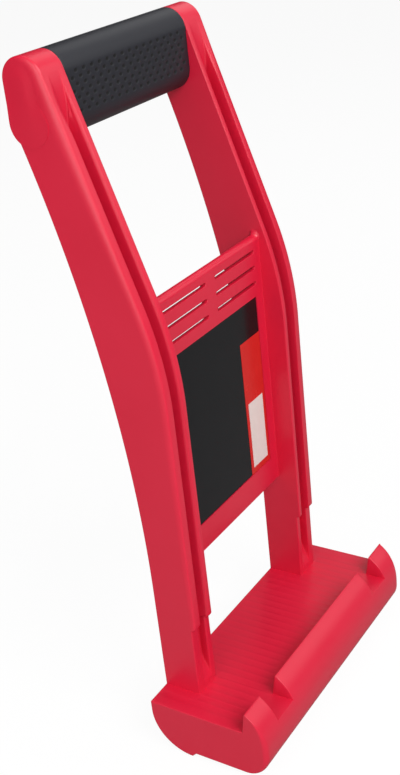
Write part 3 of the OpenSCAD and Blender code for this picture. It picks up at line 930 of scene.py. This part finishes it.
def tray_depth(outline, kind, across):
    """How far the tray's outline sinks at each line across it.

    The floor has grooves with sloping flanks, which stop short of the legs, the back and the lip. The lip's
    notches have rims that are quarter circles, and the base has a flat recess for its cover.
    """
    y, z = outline.T[..., None]
    size = np.abs(across)[None]
    nearest = np.abs(size[..., None] - grooves).min(axis=-1)
    groove = np.clip((rib_gap / 2 - nearest) / rib_flank, 0, 1)
    by_leg = (size > arm_in - rib_gap - rib_inset) & (size < arm_out + rib_gap + rib_inset)
    start = np.where(by_leg, leg_d + rib_inset, rib_inset)
    grooved = (kind == "floor")[:, None] & (y < -start) & (y > rib_inset - lip_foot)
    away = np.maximum(arm_in - size, size - arm_out)
    roll_in = np.clip(notch_edge_r - away, 0, notch_edge_r)
    rim = notch_edge_r - np.sqrt(notch_edge_r ** 2 - roll_in ** 2)
    rim = np.where(away > 0, np.minimum(rim, np.maximum(z, 0)), 0)
    on_lip = (kind == "lip")[:, None] & (z > 0)
    covered = (kind == "base")[:, None] & (y < -cover_back) & (size < cover_half_x)
    return rib_depth * groove * grooved + rim * on_lip + cover_t * covered


def tray_shape():
    """Points of the tray, outline by lines across it, and its faces.

    Each outline point moves inwards by its depth at x, and by a rounding at both ends. In a notch, what
    stands above the floor is laid down to it.
    """
    outline, kind, edge, inward = tray_outline()
    across = tray_stations()
    depth = tray_depth(outline, kind, across)
    sin, cos = quarter(8)
    end_x = tray_half - edge[:, None] * np.append(1 - sin, 0)
    end_d = edge[:, None] * (1 - cos)
    end_d = np.append(end_d, end_d[:, -1:] + side_ring, axis=1)
    x = np.concatenate([-end_x[:, ::-1], np.broadcast_to(across, depth.shape), end_x], axis=1)
    d = np.concatenate([end_d[:, ::-1], depth, end_d], axis=1)
    points = moved_in(outline, inward, x, d)
    in_notch = (np.abs(x) > arm_in) & (np.abs(x) < arm_out)
    on_lip = ((kind == "lip") & (outline[:, 1] > 0))[:, None]
    points[..., 2] = np.where(in_notch & on_lip, np.minimum(points[..., 2], 0), points[..., 2])
    rows, cols = x.shape
    return points.reshape(-1, 3), grid_faces(rows, cols, wrap_rows=True) + side_faces(rows, cols)


tray_points, tray_faces = tray_shape()
tray = make_piece("foot_tray_shell", tray_points, tray_faces, ["foot_tray"], red_abs)


def drill_tray():
    """Cuts the two driver holes under the legs: round bars, from below the heel up to the screws' seats."""
    turn = np.radians(np.linspace(0, 360, drill_sides, endpoint=False))
    ring = np.stack([np.cos(turn), np.sin(turn)], axis=1) * driver_hole_d / 2
    ends = np.arange(2 * drill_sides).reshape(2, drill_sides).tolist()
    bar_faces = grid_faces(2, drill_sides, wrap_cols=True) + ends
    heights = (-tray_h - drill_overrun, driver_hole_top)
    parts = []
    for side in (-1, 1):
        middle = [side * (arm_in + arm_out) / 2, driver_hole_y]
        levels = [np.insert(ring + middle, 2, z, axis=1) for z in heights]
        parts.append((np.concatenate(levels), bar_faces))
    points, faces = joined(parts)
    drill = bpy.data.meshes.new("drill")
    drill.from_pydata(((points + origin) * MM).tolist(), [], faces)
    made = bmesh.new()
    made.from_mesh(drill)
    bmesh.ops.recalc_face_normals(made, faces=made.faces)
    made.to_mesh(drill)
    made.free()
    bars = bpy.data.objects.new("drill", drill)
    bpy.context.scene.collection.objects.link(bars)
    cut = tray.modifiers.new("driver_holes", "BOOLEAN")
    cut.object = bars
    cut.operation = "DIFFERENCE"
    cut.solver = "MANIFOLD"
    drilled = bpy.data.meshes.new_from_object(tray.evaluated_get(bpy.context.evaluated_depsgraph_get()))
    tray.modifiers.clear()
    tray.data = drilled
    drilled.set_sharp_from_angle(angle=math.radians(SHARP))
    bpy.data.objects.remove(bars)


drill_tray()

# Finishes of the pieces that stay as they are in the frame
for node_name, finish in {
    "base_cover": red_abs,
    "base_screws": steel,
    "leg_screws": steel,
    "handle_screws": steel,
    "handle_core": nylon,
    "label_sheet": black_film,
    "label_colour_block": red_print,
    "label_write_on_patch": write_on_print,
}.items():
    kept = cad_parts[node_name]
    kept.data.materials.clear()
    kept.data.materials.append(finish)


# Stage, light and camera

# Share of the floor's look that is plain white to the camera, and the world's light on the object
floor_glow = 0.94
world_light = 0.05


def pale_floor():
    """Grey studio floor that reads as white to the camera and still takes a soft shadow."""
    material, tree, _ = new_material("pale_floor")
    to_camera = add_node(tree, "ShaderNodeLightPath").outputs["Is Camera Ray"]
    seen = add_node(tree, "ShaderNodeMath", {0: to_camera, 1: floor_glow}, operation="MULTIPLY")
    tone = add_node(tree, "ShaderNodeMix", {"Factor": to_camera, "A": hex_colour("#a2a2a2"),
                                            "B": hex_colour("#ffffff")}, data_type="RGBA")
    paint = add_node(tree, "ShaderNodeBsdfDiffuse", {"Color": tone.outputs["Result"]})
    glow = add_node(tree, "ShaderNodeEmission", {"Color": (1, 1, 1, 1), "Strength": 1.0})
    mix = add_node(tree, "ShaderNodeMixShader", {0: seen.outputs[0], 1: paint.outputs[0],
                                                 2: glow.outputs[0]})
    add_node(tree, "ShaderNodeOutputMaterial", {"Surface": mix.outputs[0]})
    return material


floor_half = 6.0
floor_mesh = bpy.data.meshes.new("floor")
floor_mesh.from_pydata([(-floor_half, -floor_half, 0), (floor_half, -floor_half, 0),
                        (floor_half, floor_half, 0), (-floor_half, floor_half, 0)], [], [(0, 1, 2, 3)])
floor_mesh.materials.append(pale_floor())
floor = bpy.data.objects.new("floor", floor_mesh)
bpy.context.scene.collection.objects.link(floor)

scene = bpy.context.scene
scene.view_settings.view_transform = "Standard"
world = bpy.data.worlds.new("studio")
scene.world = world
world.use_nodes = True
sky = world.node_tree
sky.nodes.clear()
sky_path = add_node(sky, "ShaderNodeLightPath")
sky_seen = add_node(sky, "ShaderNodeMapRange", {"Value": sky_path.outputs["Is Camera Ray"],
                                                "To Min": world_light, "To Max": 1.0})
sky_back = add_node(sky, "ShaderNodeBackground", {"Color": (1, 1, 1, 1),
                                                  "Strength": sky_seen.outputs["Result"]})
add_node(sky, "ShaderNodeOutputWorld", {"Surface": sky_back.outputs["Background"]})


def softbox(name, place, aim, width, height, power):
    """A flat lamp at a place in metres, turned to a point."""
    lamp = bpy.data.lights.new(name, "AREA")
    lamp.shape = "RECTANGLE"
    lamp.size = width
    lamp.size_y = height
    lamp.energy = power
    box = bpy.data.objects.new(name, lamp)
    box.location = place
    box.rotation_euler = (Vector(aim) - Vector(place)).to_track_quat("-Z", "Y").to_euler()
    scene.collection.objects.link(box)


middle = (0, 0, 0.17)
softbox("key", (-0.35, -1.2, 1.3), middle, 0.9, 0.9, 19.3)
softbox("front_left", (-0.9, -1.1, 1.0), middle, 0.9, 0.9, 7.0)
softbox("left_fill", (-1.5, -0.1, 0.6), middle, 1.2, 1.2, 12.9)
softbox("top_fill", (0.1, 0.1, 1.6), middle, 1.4, 1.4, 6.2)
softbox("right_fill", (1.0, -1.1, 0.9), middle, 1.0, 1.0, 4.6)
softbox("right_sheen", (1.2, 0.15, 1.05), middle, 0.8, 0.8, 2.5)

camera_place = Vector((-452.07, -296.72, 437.12)) * MM
camera_target = Vector((0, 15.724, 172.123)) * MM
camera_roll = math.radians(-6.588)
lens = bpy.data.cameras.new("camera")
lens.lens = 54.687
lens.sensor_width = 36.0
lens.clip_start = 0.01
camera = bpy.data.objects.new("camera", lens)
aim = (camera_target - camera_place).to_track_quat("-Z", "Y").to_matrix().to_4x4()
camera.matrix_world = Matrix.Translation(camera_place) @ aim @ Matrix.Rotation(camera_roll, 4, "Z")
scene.collection.objects.link(camera)
scene.camera = camera
